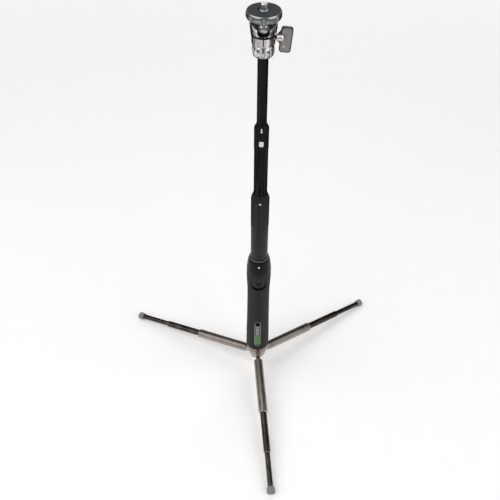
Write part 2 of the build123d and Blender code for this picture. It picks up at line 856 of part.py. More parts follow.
with BuildPart() as ball_cup:
    turn_ring(2.2, socket_radius - running_gap, cup_low, ball_height - 2.6)
    with Locations((0, 0, ball_height)):
        Sphere(socket_radius, mode=Mode.SUBTRACT)
    with BuildSketch(Plane.XZ):
        with Locations((0, ball_height)):
            Circle(notch_half_width)
        with Locations((0, ball_height - ball_radius)):
            Rectangle(clamp_slit, 2 * ball_radius)
    extrude(amount=2 * housing_top_radius, mode=Mode.SUBTRACT)
keep(ball_cup, "ball_cup")

with BuildPart() as key_nut:
    extrude_ring(key_line.offset(-nut_outer), nut_radius, nut_thickness,
                 inner=key_screw_radius + running_gap)
keep(key_nut, "key_nut")

# ---- Lock key ----
boss_start = housing_bottom_radius + 0.6 + key_gap
wing_inner = key_wing_offset - key_wing_width / 2
with BuildPart() as lock_key:
    extrude_ring(key_line.offset(-nut_outer + 0.3), key_screw_radius, nut_outer - 0.3 + boss_start)
    extrude_ring(key_line.offset(boss_start), key_boss_radius, key_wing_offset - boss_start - 1)
    with BuildSketch(Plane.XZ.offset(-key_wing_thickness / 2)):
        with Locations(Location((key_wing_offset, key_height - key_wing_drop, 0),
                                (0, 0, -key_wing_lean))):
            RectangleRounded(key_wing_width, key_wing_height, key_wing_corner)
    extrude(amount=key_wing_thickness)
    with BuildSketch(Plane.XZ.offset(-key_wing_thickness / 2)):
        with BuildLine():
            Polyline(
                (boss_start, key_height - key_boss_radius),
                (boss_start, key_height + key_boss_radius),
            )
            ThreePointArc(
                (boss_start, key_height + key_boss_radius),
                (wing_inner - 1.2, key_height + key_boss_radius + 1.4),
                (wing_inner + 1.2, key_height + key_neck_half_height),
            )
            Line(
                (wing_inner + 1.2, key_height + key_neck_half_height),
                (wing_inner + 1.2, key_height - key_neck_half_height),
            )
            ThreePointArc(
                (wing_inner + 1.2, key_height - key_neck_half_height),
                (wing_inner - 1.2, key_height - key_boss_radius - 1.4),
                (boss_start, key_height - key_boss_radius),
            )
        make_face()
    extrude(amount=key_wing_thickness)
keep(lock_key, "lock_key")

# ---- Ball and platform ----
stem_flange_low = platform_bottom - 0.3
stem_flange_top = stem_flange_low + stem_flange
journal_high = pad_bottom - screw_flange - 0.2
screw_flange_low = journal_high
hub_floor = stem_flange_top + slot_gap
with BuildPart() as ball_stem:
    with Locations((0, 0, ball_height)):
        Sphere(ball_radius)
    turn_ring(0, neck_radius, ball_height, stem_flange_low)
    turn_ring(0, stem_flange_radius, stem_flange_low, stem_flange_top)
    turn_ring(0, stem_journal_radius, stem_flange_top, journal_high)
    turn_ring(0, screw_root_radius, ball_height, journal_high + 1, mode=Mode.SUBTRACT)
keep(ball_stem, "ball_stem")

with BuildPart() as camera_screw:
    turn_ring(0, screw_root_radius, ball_height + 1, screw_flange_low)
    turn_ring(0, screw_flange_radius, screw_flange_low, screw_flange_low + screw_flange)
    turn_ring(0, screw_neck_radius, screw_flange_low, pad_top)
    turn_ring(0, camera_screw_radius, pad_top, pad_top + camera_screw_proud)
    chamfer(camera_screw.edges().group_by(Axis.Z)[-1], 0.5)
keep(camera_screw, "camera_screw")

with BuildPart() as platform_disc:
    with BuildSketch(Plane.XZ):
        with BuildLine():
            ThreePointArc(
                (platform_base_radius, platform_bottom),
                (platform_radius - 0.45, platform_bottom + 0.45 * platform_rim_height),
                (platform_radius, platform_bottom + platform_rim_height),
            )
            ThreePointArc(
                (platform_radius, platform_bottom + platform_rim_height),
                (platform_radius - 0.25, platform_top - 1.2),
                (pad_radius + 0.35, platform_top),
            )
            Polyline(
                (pad_radius + 0.35, platform_top),
                (pad_radius, platform_top),
                (pad_radius, pad_bottom),
                (screw_flange_radius + swing_gap, pad_bottom),
                (screw_flange_radius + swing_gap, screw_flange_low - slot_gap),
                (stem_journal_radius + running_gap, screw_flange_low - slot_gap),
                (stem_journal_radius + running_gap, hub_floor),
                (stem_flange_radius + swing_gap, hub_floor),
                (stem_flange_radius + swing_gap, platform_bottom),
                (platform_base_radius, platform_bottom),
            )
        make_face()
    revolve(axis=Axis.Z)
    with BuildSketch(Plane.XY.offset(platform_bottom - 1)):
        with PolarLocations(platform_radius + 0.5, finger_notch_count, start_angle=-90):
            Circle(finger_notch_radius)
    extrude(amount=platform_rim_height + 1, mode=Mode.SUBTRACT)
    with PolarLocations(platform_radius + 0.5, finger_notch_count, start_angle=-90):
        with Locations((0, 0, platform_bottom + platform_rim_height)):
            Sphere(finger_notch_radius, mode=Mode.SUBTRACT)
keep(platform_disc, "platform_disc")

with BuildPart() as platform_pad:
    turn_ring(screw_flange_radius + swing_gap, pad_radius, pad_bottom, pad_top)
keep(platform_pad, "platform_pad")
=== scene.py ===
"""Looks of a hand-held telescoping camera pod with a clamped ball head and three folding chrome legs."""

import json
import logging
import math
import random
from dataclasses import dataclass, field
from enum import Enum
from typing import Callable, Iterable

import bmesh
import bpy
from mathutils import Matrix, Vector
from mathutils.bvhtree import BVHTree


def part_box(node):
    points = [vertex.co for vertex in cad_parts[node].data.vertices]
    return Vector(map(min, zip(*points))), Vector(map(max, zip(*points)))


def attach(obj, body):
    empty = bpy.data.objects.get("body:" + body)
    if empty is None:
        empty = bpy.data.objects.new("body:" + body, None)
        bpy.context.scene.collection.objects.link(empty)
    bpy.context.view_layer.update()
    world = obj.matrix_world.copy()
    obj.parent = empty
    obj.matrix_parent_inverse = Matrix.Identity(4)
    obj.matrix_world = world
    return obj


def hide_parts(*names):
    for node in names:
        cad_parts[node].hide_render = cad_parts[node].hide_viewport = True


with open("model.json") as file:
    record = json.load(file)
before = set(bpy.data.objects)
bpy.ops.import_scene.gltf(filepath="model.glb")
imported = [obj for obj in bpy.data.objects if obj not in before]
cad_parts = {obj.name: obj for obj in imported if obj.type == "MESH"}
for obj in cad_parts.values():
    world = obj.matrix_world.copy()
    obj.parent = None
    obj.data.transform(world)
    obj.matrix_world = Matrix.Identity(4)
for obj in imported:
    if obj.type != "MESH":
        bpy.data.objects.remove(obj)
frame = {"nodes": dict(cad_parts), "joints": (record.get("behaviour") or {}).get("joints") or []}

MM = 0.001
Rgb = tuple[float, float, float]
SurfacePoint = Callable[[float, float], tuple[float, float]]
MERGE_DISTANCE = 0.001 * MM
SHARP_ANGLE = math.radians(35)
SKIN_RAY_START = -0.05
GRIP_FRONT = -0.0135
GRAIN_BAND = (0.3, 0.7)
GRAIN_DETAIL = 5.0
SMUDGE_DETAIL = 2.5
GRAIN_ROUGHNESS = 0.62
WORN_EDGE_BAND = (0.97, 0.75)
SCUFF_SCALE = 420.0
DUST_CLOUD_SCALE = 60.0
DUST_UPWARD_FROM = 0.2
DUST_COLOUR = (0.42, 0.41, 0.39, 1.0)
COAT_ROUGHNESS = 0.08
SMOOTHEST = 0.02

log = logging.getLogger("pod")


class Slot(Enum):
    """Names of the record's material slots; the grip's skins carry one, but nothing reads it and no finish
    is taken from them.
    """

    BADGE = "badge_plastic"
    CHROME = "leg_chrome"
    GRIP = "rubber_grip"
    MARK = "white_mark"
    STEEL = "steel"
    KEY = "key_nickel"
    HEAD = "head_chrome"


class Grain(Enum):
    """How the fine structure of a finish runs."""

    SPECKLE = "speckle_grain"
    TURNED = "turned_grain"
    SMUDGED = "smudged_grain"


# ---- Shared shader groups ----
def start_group(name: str, inputs: dict[str, str], outputs: dict[str, str]) -> bpy.types.NodeTree:
    """Make an empty shader group with named sockets.

    Args:
        name: The group's name.
        inputs: Input names and their socket types.
        outputs: Output names and their socket types.

    Returns:
        The group, holding one input node and one output node.
    """
    group = bpy.data.node_groups.new(name, "ShaderNodeTree")
    for label, kind in inputs.items():
        group.interface.new_socket(label, in_out="INPUT", socket_type=kind)
    for label, kind in outputs.items():
        group.interface.new_socket(label, in_out="OUTPUT", socket_type=kind)
    group.nodes.new("NodeGroupInput").name = "in"
    group.nodes.new("NodeGroupOutput").name = "out"
    return group


def grain_group(kind: Grain) -> bpy.types.NodeTree:
    """Fine colour change and bump over a surface, built once for each kind.

    Args:
        kind: How the grain runs.

    Returns:
        A group with the outputs Color, Value and Normal.
    """
    if kind.value in bpy.data.node_groups:
        return bpy.data.node_groups[kind.value]
    group = start_group(
        kind.value,
        {
            "Scale": "NodeSocketFloat",
            "Depth": "NodeSocketFloat",
            "Height": "NodeSocketFloat",
            "Base": "NodeSocketColor",
            "Shade": "NodeSocketColor",
            "Normal": "NodeSocketVector",
        },
        {"Color": "NodeSocketColor", "Value": "NodeSocketFloat", "Normal": "NodeSocketVector"},
    )
    nodes, links = group.nodes, group.links
    stretch = {Grain.SPECKLE: (1, 1, 1), Grain.TURNED: (0.03, 0.03, 1), Grain.SMUDGED: (1, 1, 0.6)}[kind]
    place = nodes.new("ShaderNodeTexCoord")
    mapping = nodes.new("ShaderNodeMapping")
    mapping.inputs["Scale"].default_value = stretch
    noise = nodes.new("ShaderNodeTexNoise")
    noise.inputs["Detail"].default_value = SMUDGE_DETAIL if kind is Grain.SMUDGED else GRAIN_DETAIL
    noise.inputs["Roughness"].default_value = GRAIN_ROUGHNESS
    spread = nodes.new("ShaderNodeMapRange")
    spread.inputs["From Min"].default_value, spread.inputs["From Max"].default_value = GRAIN_BAND
    mix = nodes.new("ShaderNodeMix")
    mix.data_type = "RGBA"
    bump = nodes.new("ShaderNodeBump")
    group_in, group_out = nodes["in"], nodes["out"]
    links.new(place.outputs["Object"], mapping.inputs["Vector"])
    links.new(mapping.outputs["Vector"], noise.inputs["Vector"])
    links.new(group_in.outputs["Scale"], noise.inputs["Scale"])
    links.new(noise.outputs["Fac"], spread.inputs["Value"])
    links.new(spread.outputs["Result"], mix.inputs["Factor"])
    links.new(group_in.outputs["Base"], mix.inputs["A"])
    links.new(group_in.outputs["Shade"], mix.inputs["B"])
    links.new(group_in.outputs["Depth"], bump.inputs["Strength"])
    links.new(group_in.outputs["Height"], bump.inputs["Distance"])
    links.new(spread.outputs["Result"], bump.inputs["Height"])
    links.new(group_in.outputs["Normal"], bump.inputs["Normal"])
    links.new(mix.outputs["Result"], group_out.inputs["Color"])
    links.new(spread.outputs["Result"], group_out.inputs["Value"])
    links.new(bump.outputs["Normal"], group_out.inputs["Normal"])
    return group


def edge_group() -> bpy.types.NodeTree:
    """Softened edges and the mask of where an edge is worn, built once.

    Returns:
        A group with the outputs Mask and Normal.
    """
    if "edge_wear" in bpy.data.node_groups:
        return bpy.data.node_groups["edge_wear"]
    group = start_group(
        "edge_wear",
        {"Radius": "NodeSocketFloat"},
        {"Mask": "NodeSocketFloat", "Normal": "NodeSocketVector"},
    )
    nodes, links = group.nodes, group.links
    rounded = nodes.new("ShaderNodeBevel")
    rounded.samples = 4
    geometry = nodes.new("ShaderNodeNewGeometry")
    facing = nodes.new("ShaderNodeVectorMath")
    facing.operation = "DOT_PRODUCT"
    turned = nodes.new("ShaderNodeMapRange")
    turned.inputs["From Min"].default_value, turned.inputs["From Max"].default_value = WORN_EDGE_BAND
    scuffs = nodes.new("ShaderNodeTexNoise")
    scuffs.inputs["Scale"].default_value = SCUFF_SCALE
    scuffs.inputs["Detail"].default_value = 4.0
    patchy = nodes.new("ShaderNodeMath")
    patchy.operation = "MULTIPLY"
    links.new(nodes["in"].outputs["Radius"], rounded.inputs["Radius"])
    links.new(rounded.outputs["Normal"], facing.inputs[0])
    links.new(geometry.outputs["Normal"], facing.inputs[1])
    links.new(facing.outputs["Value"], turned.inputs["Value"])
    links.new(turned.outputs["Result"], patchy.inputs[0])
    links.new(scuffs.outputs["Fac"], patchy.inputs[1])
    links.new(patchy.outputs["Value"], nodes["out"].inputs["Mask"])
    links.new(rounded.outputs["Normal"], nodes["out"].inputs["Normal"])
    return group


def dust_group() -> bpy.types.NodeTree:
    """Faint dust where a surface looks up, built once.

    Returns:
        A group with the output Mask.
    """
    if "settled_dust" in bpy.data.node_groups:
        return bpy.data.node_groups["settled_dust"]
    group = start_group("settled_dust", {"Amount": "NodeSocketFloat"}, {"Mask": "NodeSocketFloat"})
    nodes, links = group.nodes, group.links
    geometry = nodes.new("ShaderNodeNewGeometry")
    split = nodes.new("ShaderNodeSeparateXYZ")
    cloud = nodes.new("ShaderNodeTexNoise")
    cloud.inputs["Scale"].default_value = DUST_CLOUD_SCALE
    cloud.inputs["Detail"].default_value = 6.0
    upward = nodes.new("ShaderNodeMapRange")
    upward.inputs["From Min"].default_value = DUST_UPWARD_FROM
    upwards = nodes.new("ShaderNodeMath")
    upwards.operation = "MULTIPLY"
    amount = nodes.new("ShaderNodeMath")
    amount.operation = "MULTIPLY"
    links.new(geometry.outputs["Normal"], split.inputs["Vector"])
    links.new(split.outputs["Z"], upward.inputs["Value"])
    links.new(upward.outputs["Result"], upwards.inputs[0])
    links.new(cloud.outputs["Fac"], upwards.inputs[1])
    links.new(upwards.outputs["Value"], amount.inputs[0])
    links.new(nodes["in"].outputs["Amount"], amount.inputs[1])
    links.new(amount.outputs["Value"], nodes["out"].inputs["Mask"])
    return group


# ---- Finishes ----
@dataclass(frozen=True)
class Finish:
    """One surface finish: two colours mixed by grain, worn edges and settled dust; on the head chrome the
    two colours lie far apart and paint reflections.
    """

    name: str
    base: Rgb
    shade: Rgb
    metallic: float = 0.0
    roughness: float = 0.5
    roughness_spread: float = 0.08
    grain: Grain = Grain.SPECKLE
    grain_scale: float = 900.0
    grain_depth: float = 0.15
    grain_height: float = 0.15 * MM
    worn: Rgb = (0.3, 0.3, 0.3)
    wear: float = 0.0
    dust: float = 0.04
    edge_radius: float = 0.25 * MM
    coat: float = 0.0
    specular: float = 0.5
    glow: float = 0.0

    def build(self) -> bpy.types.Material:
        """Make the material, or find it again, under a name that no slot of the frame has."""
        label = f"{self.name}_finish"
        if label in bpy.data.materials:
            return bpy.data.materials[label]
        material = bpy.data.materials.new(label)
        material.use_nodes = True
        nodes, links = material.node_tree.nodes, material.node_tree.links
        shader = nodes["Principled BSDF"]
        shader.inputs["Metallic"].default_value = self.metallic
        shader.inputs["Specular IOR Level"].default_value = self.specular
        shader.inputs["Coat Weight"].default_value = self.coat
        shader.inputs["Coat Roughness"].default_value = COAT_ROUGHNESS
        shader.inputs["Emission Color"].default_value = (1.0, 1.0, 1.0, 1.0)
        shader.inputs["Emission Strength"].default_value = self.glow
        edge = nodes.new("ShaderNodeGroup")
        edge.node_tree = edge_group()
        edge.inputs["Radius"].default_value = self.edge_radius
        grain = nodes.new("ShaderNodeGroup")
        grain.node_tree = grain_group(self.grain)
        grain.inputs["Scale"].default_value = self.grain_scale
        grain.inputs["Depth"].default_value = self.grain_depth
        grain.inputs["Height"].default_value = self.grain_height
        grain.inputs["Base"].default_value = (*self.base, 1.0)
        grain.inputs["Shade"].default_value = (*self.shade, 1.0)
        dust = nodes.new("ShaderNodeGroup")
        dust.node_tree = dust_group()
        dust.inputs["Amount"].default_value = self.dust
        worn_share = nodes.new("ShaderNodeMath")
        worn_share.operation = "MULTIPLY"
        worn_share.inputs[1].default_value = self.wear
        worn_mix = nodes.new("ShaderNodeMix")
        worn_mix.data_type = "RGBA"
        worn_mix.inputs["B"].default_value = (*self.worn, 1.0)
        dust_mix = nodes.new("ShaderNodeMix")
        dust_mix.data_type = "RGBA"
        dust_mix.inputs["B"].default_value = DUST_COLOUR
        rough = nodes.new("ShaderNodeMapRange")
        rough.inputs["To Min"].default_value = max(SMOOTHEST, self.roughness - self.roughness_spread)
        rough.inputs["To Max"].default_value = min(1.0, self.roughness + self.roughness_spread)
        links.new(edge.outputs["Normal"], grain.inputs["Normal"])
        links.new(edge.outputs["Mask"], worn_share.inputs[0])
        links.new(worn_share.outputs["Value"], worn_mix.inputs["Factor"])
        links.new(grain.outputs["Color"], worn_mix.inputs["A"])
        links.new(worn_mix.outputs["Result"], dust_mix.inputs["A"])
        links.new(dust.outputs["Mask"], dust_mix.inputs["Factor"])
        links.new(dust_mix.outputs["Result"], shader.inputs["Base Color"])
        links.new(grain.outputs["Value"], rough.inputs["Value"])
        links.new(rough.outputs["Result"], shader.inputs["Roughness"])
        links.new(grain.outputs["Normal"], shader.inputs["Normal"])
        log.info("finish %s", label)
        return material


LEG_CHROME = Finish("leg_chrome", (0.3, 0.265, 0.235), (0.4, 0.36, 0.32), metallic=1.0, roughness=0.3,
                    roughness_spread=0.05, grain=Grain.SMUDGED, grain_scale=70.0, grain_depth=0.02,
                    dust=0.01)
THIN_CHROME = Finish("thin_chrome", (0.05, 0.044, 0.04), (0.11, 0.098, 0.088), metallic=1.0,
                     roughness=0.28, roughness_spread=0.05, grain=Grain.SMUDGED, grain_scale=70.0,
                     grain_depth=0.02, dust=0.01)
HUB_CHROME = Finish("hub_chrome", (0.27, 0.23, 0.195), (0.38, 0.33, 0.285), metallic=1.0,
                    roughness=0.16, roughness_spread=0.04, grain=Grain.SMUDGED, grain_scale=90.0,
                    grain_depth=0.03, dust=0.02)
# Painted reflections: dark and light colours lie far apart and mix in blotches that paint the polished
# head's broken-up reflections; the bump under them is surface waviness.
HEAD_CHROME_PAINTED_REFLECTIONS = Finish("head_chrome", (0.2, 0.185, 0.2), (0.84, 0.83, 0.87), metallic=1.0, roughness=0.1,
                     roughness_spread=0.03, grain=Grain.SMUDGED, grain_scale=115.0, grain_depth=0.5,
                     grain_height=0.6 * MM, dust=0.0, edge_radius=0.45 * MM)
BALL_SATIN = Finish("ball_satin", (0.5, 0.53, 0.54), (0.62, 0.64, 0.65), metallic=1.0, roughness=0.3,
                    grain=Grain.SMUDGED, grain_scale=90.0, grain_depth=0.03)
BOSS_STEEL = Finish("boss_steel", (0.88, 0.88, 0.9), (0.94, 0.94, 0.95), metallic=1.0, roughness=0.36,
                    roughness_spread=0.03, grain=Grain.SMUDGED, grain_scale=90.0, grain_depth=0.02,
                    dust=0.0)
BALL_STEEL = Finish("ball_steel", (0.75, 0.76, 0.78), (0.85, 0.85, 0.86), metallic=1.0, roughness=0.14,
                    roughness_spread=0.03, grain=Grain.SMUDGED, grain_scale=90.0, grain_depth=0.02)
KEY_NICKEL = Finish("key_nickel", (0.3, 0.28, 0.265), (0.4, 0.375, 0.355), metallic=1.0, roughness=0.33,
                    grain_scale=700.0, grain_depth=0.12, worn=(0.75, 0.74, 0.73), wear=1.3,
                    edge_radius=0.3 * MM)
# Painted shade: the nickel key's body is coloured near-black, so its outline round the lighter face reads
# as shade; the lighter worn edges are real wear.
KEY_EDGE_SHADE = Finish("key_edge_shade", (0.05, 0.046, 0.05), (0.1, 0.092, 0.095), metallic=1.0, roughness=0.3,
                  grain_scale=700.0, grain_depth=0.1, worn=(0.4, 0.4, 0.4), wear=0.5,
                  edge_radius=0.4 * MM)
PLATFORM_PEWTER = Finish("platform_pewter", (0.25, 0.275, 0.275), (0.38, 0.41, 0.405), metallic=1.0,
                         roughness=0.25, grain=Grain.TURNED, grain_scale=2600.0, grain_depth=0.08,
                         worn=(0.8, 0.82, 0.81), wear=1.0, edge_radius=0.35 * MM)
PAD_RUBBER = Finish("pad_rubber", (0.01, 0.013, 0.018), (0.034, 0.039, 0.048), roughness=0.72,
                    specular=0.2, grain_scale=1500.0, grain_depth=0.9, dust=0.06)
SCREW_STEEL = Finish("screw_steel", (0.5, 0.52, 0.53), (0.6, 0.62, 0.63), metallic=1.0, roughness=0.3,
                     grain=Grain.TURNED, grain_scale=3000.0, grain_depth=0.05, worn=(0.7, 0.7, 0.7),
                     wear=0.2)
GLOSS_TUBE = Finish("gloss_tube", (0.002, 0.002, 0.003), (0.004, 0.004, 0.005), roughness=0.2,
                    specular=0.14, grain=Grain.SMUDGED, grain_scale=130.0, grain_depth=0.02, dust=0.01)
SATIN_TUBE = Finish("satin_tube", (0.012, 0.013, 0.014), (0.018, 0.019, 0.021), roughness=0.42,
                    specular=0.2, grain_scale=2200.0, grain_depth=0.12, dust=0.02)
COLLAR_BLACK = Finish("collar_black", (0.002, 0.002, 0.003), (0.005, 0.005, 0.006), roughness=0.33,
                      specular=0.16, grain_scale=1300.0, grain_depth=0.1, worn=(0.05, 0.05, 0.05),
                      wear=0.8)
GRIP_RUBBER = Finish("grip_rubber", (0.013, 0.015, 0.016), (0.021, 0.023, 0.025), roughness=0.66,
                     specular=0.22, grain_scale=2600.0, grain_depth=0.55, worn=(0.07, 0.075, 0.08),
                     wear=0.7)
# Near-black: the own colour of the badge's round end, the chevron and the grip seam, and painted shade for
# the thumb rest's ledge shadow and the housing groove.
BLACK_MARKS_AND_PAINTED_SHADE = Finish("black_marks_and_painted_shade", (0.0008, 0.0008, 0.001), (0.002, 0.002, 0.0025), roughness=0.7,
                       specular=0.05, grain_scale=2600.0, grain_depth=0.3, dust=0.0)
LIP_PLASTIC = Finish("lip_plastic", (0.13, 0.135, 0.14), (0.2, 0.205, 0.21), roughness=0.3,
                     grain_scale=1500.0, grain_depth=0.05)
MARK_WHITE = Finish("mark_white", (0.72, 0.74, 0.76), (0.85, 0.86, 0.87), roughness=0.4,
                    grain_scale=1800.0, grain_depth=0.08, dust=0.0)
BADGE_PRINT = Finish("badge_print", (0.3, 0.31, 0.3), (0.42, 0.43, 0.42), roughness=0.4,
                     grain_scale=1400.0, grain_depth=0.06, dust=0.0)
BADGE_FIELD = Finish("badge_field", (0.035, 0.038, 0.036), (0.055, 0.058, 0.056), roughness=0.3,
                     grain_scale=900.0, grain_depth=0.05, coat=0.3)
BADGE_BORDER = Finish("badge_border", (0.17, 0.18, 0.17), (0.26, 0.27, 0.26), roughness=0.32,
                      grain_scale=1500.0, grain_depth=0.05, metallic=0.4)
BADGE_GREEN = Finish("badge_green", (0.045, 0.155, 0.02), (0.085, 0.24, 0.04), roughness=0.35,
                     grain_scale=500.0, grain_depth=0.04, coat=0.3)
FOOT_RUBBER = Finish("foot_rubber", (0.17, 0.175, 0.175), (0.25, 0.255, 0.255), roughness=0.6,
                     grain_scale=1200.0, grain_depth=0.3, worn=(0.4, 0.4, 0.4), wear=0.6)
KNUCKLE_METAL = Finish("knuckle_metal", (0.5, 0.48, 0.46), (0.62, 0.6, 0.58), metallic=1.0,
                       roughness=0.22, grain=Grain.SMUDGED, grain_scale=120.0, grain_depth=0.03)
PLAIN_METAL = Finish("plain_metal", (0.35, 0.35, 0.36), (0.45, 0.45, 0.46), metallic=1.0,
                     roughness=0.35, grain_scale=900.0)
BRASS = Finish("insert_brass", (0.6, 0.42, 0.16), (0.7, 0.5, 0.2), metallic=1.0, roughness=0.3,
               grain_scale=900.0)
BUSH_PLASTIC = Finish("bush_plastic", (0.12, 0.12, 0.125), (0.17, 0.17, 0.175), roughness=0.5,
                      grain_scale=1100.0)
FLOOR_PAPER = Finish("floor_paper", (0.93, 0.93, 0.93), (0.95, 0.95, 0.95), roughness=0.85,
                     grain_scale=40.0, grain_depth=0.0, dust=0.0, glow=0.12)
CARD_FELT = Finish("card_felt", (0.01, 0.009, 0.009), (0.02, 0.018, 0.018), roughness=1.0,
                   grain_depth=0.0, dust=0.0)
CARD_BROWN = Finish("card_brown", (0.14, 0.09, 0.06), (0.2, 0.14, 0.1), roughness=1.0, grain_depth=0.0,
                    dust=0.0)

NODE_FINISHES: dict[str, Finish] = {
    "platform_disc": PLATFORM_PEWTER, "platform_pad": PAD_RUBBER, "ball_stem": BALL_SATIN,
    "camera_screw": SCREW_STEEL, "ball_housing": HEAD_CHROME_PAINTED_REFLECTIONS, "ball_cup": COLLAR_BLACK,
    "key_nut": SCREW_STEEL, "lock_key": KEY_EDGE_SHADE, "swivel_collar": HEAD_CHROME_PAINTED_REFLECTIONS,
    "head_spigot": PLAIN_METAL, "swivel_screw": PLAIN_METAL, "upper_tube": GLOSS_TUBE,
    "middle_tube": GLOSS_TUBE, "lower_tube": SATIN_TUBE, "middle_collar": COLLAR_BLACK,
    "lower_collar": SATIN_TUBE, "middle_guide_bush": COLLAR_BLACK, "lower_guide_bush": COLLAR_BLACK,
    "upper_cam_plug": COLLAR_BLACK, "middle_cam_plug": COLLAR_BLACK, "lower_cam_plug": COLLAR_BLACK,
    "upper_lock_sleeve": BUSH_PLASTIC, "middle_lock_sleeve": BUSH_PLASTIC,
    "lower_lock_sleeve": BUSH_PLASTIC, "lock_button": MARK_WHITE, "button_spring": PLAIN_METAL,
    "lower_index_dot": MARK_WHITE, "grip_index_dot": MARK_WHITE, "grip_mouth_ring": LIP_PLASTIC,
    "grip_collar": COLLAR_BLACK, "grip_core": COLLAR_BLACK, "grip_sleeve": GRIP_RUBBER,
    "grip_badge": BADGE_FIELD, "grip_base_plug": COLLAR_BLACK, "thread_insert": BRASS,
    "leg_hub": HUB_CHROME, "hub_stud": PLAIN_METAL, "hinge_pins": SCREW_STEEL,
}
LEG_NODE_FINISHES: dict[str, Finish] = {
    "knuckle": KNUCKLE_METAL, "outer_tube": LEG_CHROME, "middle_tube": THIN_CHROME,
    "inner_tube": THIN_CHROME, "middle_bush": BUSH_PLASTIC, "inner_bush": BUSH_PLASTIC,
    "foot": FOOT_RUBBER,
}


# ---- Mesh helpers ----
def make_object(name: str, verts: list[Vector], faces: list[tuple[int, ...]],
                finish: Finish) -> bpy.types.Object:
    """Make a clean smooth-shaded mesh object.

    Args:
        name: The piece's name.
        verts: Corners in metres in the row frame.
        faces: Corner numbers of each face.
        finish: The surface finish.

    Returns:
        The linked object.
    """
    mesh = bpy.data.meshes.new(name)
    mesh.from_pydata([tuple(v) for v in verts], [], faces)
    edit = bmesh.new()
    edit.from_mesh(mesh)
    bmesh.ops.remove_doubles(edit, verts=edit.verts, dist=MERGE_DISTANCE)
    bmesh.ops.recalc_face_normals(edit, faces=edit.faces)
    edit.to_mesh(mesh)
    edit.free()
    mesh.shade_smooth()
    mesh.set_sharp_from_angle(angle=SHARP_ANGLE)
    mesh.materials.append(finish.build())
    made = bpy.data.objects.new(name, mesh)
    bpy.context.scene.collection.objects.link(made)
    return made


def place_piece(piece: bpy.types.Object, body: str) -> bpy.types.Object:
    """Let a piece ride on a CAD body and report it.

    Args:
        piece: The finished object.
        body: The CAD body's name.

    Returns:
        The same object.
    """
    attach(piece, body)
    log.info("piece %s on %s", piece.name, body)
    return piece


def revolve(name: str, outline: list[tuple[float, float]], axis: Matrix, finish: Finish,
            steps: int = 64) -> bpy.types.Object:
    """Turn a closed outline of (radius, along) points about an axis.

    Args:
        name: The piece's name.
        outline: Radius and place along the axis, in metres.
        axis: Matrix whose Z column is the axis and whose translation is its start.
        finish: The surface finish.
        steps: How many steps go round.

    Returns:
        The turned object.
    """
    verts: list[Vector] = []
    for step in range(steps):
        angle = math.tau * step / steps
        verts += [axis @ Vector((r * math.cos(angle), r * math.sin(angle), z)) for r, z in outline]
    count = len(outline)
    faces = []
    for step in range(steps):
        after = (step + 1) % steps
        for i in range(count):
            j = (i + 1) % count
            faces.append((step * count + i, after * count + i, after * count + j, step * count + j))
    return make_object(name, verts, faces, finish)


def surface_of(nodes: Iterable[str]) -> BVHTree:
    """Make a search tree over some CAD nodes' rest meshes.

    Args:
        nodes: The nodes' names.

    Returns:
        The tree, in the row frame.
    """
    verts: list[Vector] = []
    polygons: list[tuple[int, ...]] = []
    for node in nodes:
        mesh = frame["nodes"][node].data
        offset = len(verts)
        verts += [v.co.copy() for v in mesh.vertices]
        polygons += [tuple(offset + i for i in p.vertices) for p in mesh.polygons]
    return BVHTree.FromPolygons(verts, polygons)


def front_skin(name: str, surface: BVHTree, point: SurfacePoint, finish: Finish, proud: float,
               columns: int = 12, rows: int = 24, depth: float = 0.25 * MM) -> bpy.types.Object:
    """Lay a thin shaped skin on the front of a surface, like an inlay, a print or a painted shadow.

    Args:
        name: The piece's name.
        surface: What it lies on.
        point: From u and v between 0 and 1 to x and z in metres.
        finish: The surface finish.
        proud: How far it stands out of the surface, in metres.
        columns: Steps along u.
        rows: Steps along v.
        depth: How thick it is, in metres.

    Returns:
        The skin as a closed solid.
    """
    fronts: list[Vector] = []
    backs: list[Vector] = []
    for row in range(rows + 1):
        for column in range(columns + 1):
            x, z = point(column / columns, row / rows)
            hit, _, _, _ = surface.ray_cast(Vector((x, SKIN_RAY_START, z)), Vector((0, 1, 0)))
            y = hit.y if hit else GRIP_FRONT
            fronts.append(Vector((x, y - proud, z)))
            backs.append(Vector((x, y - proud + depth, z)))
    wide = columns + 1
    total = len(fronts)
    faces: list[tuple[int, ...]] = []
    for row in range(rows):
        for column in range(columns):
            a = row * wide + column
            quad = (a, a + 1, a + wide + 1, a + wide)
            faces.append(quad)
            faces.append(tuple(total + i for i in reversed(quad)))
    border = list(range(wide)) + [r * wide + columns for r in range(1, rows + 1)]
    border += [rows * wide + c for c in range(columns - 1, -1, -1)]
    border += [r * wide for r in range(rows - 1, 0, -1)]
    for i, a in enumerate(border):
        b = border[(i + 1) % len(border)]
        faces.append((b, a, total + a, total + b))
    return make_object(name, fronts + backs, faces, finish)


def stadium(low: float, high: float, half_width: float) -> SurfacePoint:
    """A strip with half-round ends, between two heights.

    Args:
        low: Its lower end, in metres.
        high: Its upper end.
        half_width: Half its width.

    Returns:
        The strip as a function of u and v.
    """
    def point(u: float, v: float) -> tuple[float, float]:
        """Place u and v in the strip, with rows crowding at the round ends."""
        eased = 0.5 - 0.5 * math.cos(math.pi * v)
        z = low + (high - low) * eased
        inside = min(z - low, high - z, half_width)
        width = math.sqrt(max(half_width**2 - (half_width - inside) ** 2, 1e-10))
        return width * (2 * u - 1), z
    return point


